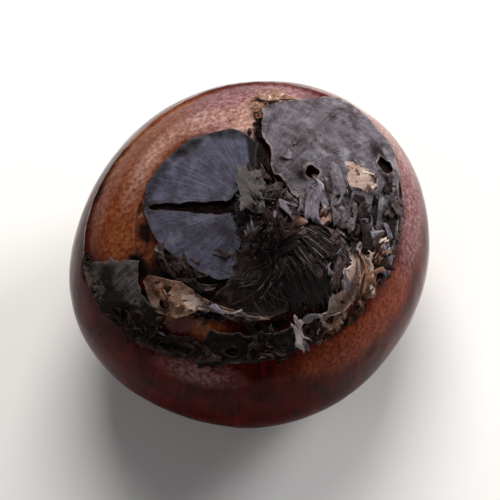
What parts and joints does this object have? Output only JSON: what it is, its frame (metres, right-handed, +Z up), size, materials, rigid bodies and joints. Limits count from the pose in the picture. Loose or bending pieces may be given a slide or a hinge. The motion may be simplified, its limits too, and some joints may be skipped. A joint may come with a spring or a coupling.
{
  "type": "water chestnut",
  "caption": "Squat brown corm with node rings, torn papery scale leaves over its shoulder and a shaggy crown; rests on a small flat spot.",
  "frame": {"origin": "on the surface that the corm rests on, below the middle of its outline", "axes": "+Z up, from the flat spot to the crown; +Y towards the big slate scale leaf at the back; the bristly side bud is towards +X and -Y"},
  "size_m": [0.0383, 0.0378, 0.0327],
  "materials": {
    "chestnut_skin": "glossy thin skin, maroon below and amber brown round the shoulder",
    "papery_scale": "matt slate-grey dried leaf with fine fibres",
    "weathered_scale": "matt dark olive-brown dried leaf",
    "torn_edge": "matt tan torn tissue",
    "dried_crown": "matt brown-black dried fibres"
  },
  "bodies": {
    "root": {"corm": "chestnut_skin", "upper_scale_left": "papery_scale", "upper_scale_front": "weathered_scale", "upper_scale_edge": "torn_edge", "lower_scale_back": "papery_scale", "lower_scale_left": "weathered_scale", "lower_scale_front": "weathered_scale", "side_bud_scale": "torn_edge", "crown_tuft": "dried_crown"}
  },
  "joints": []
}
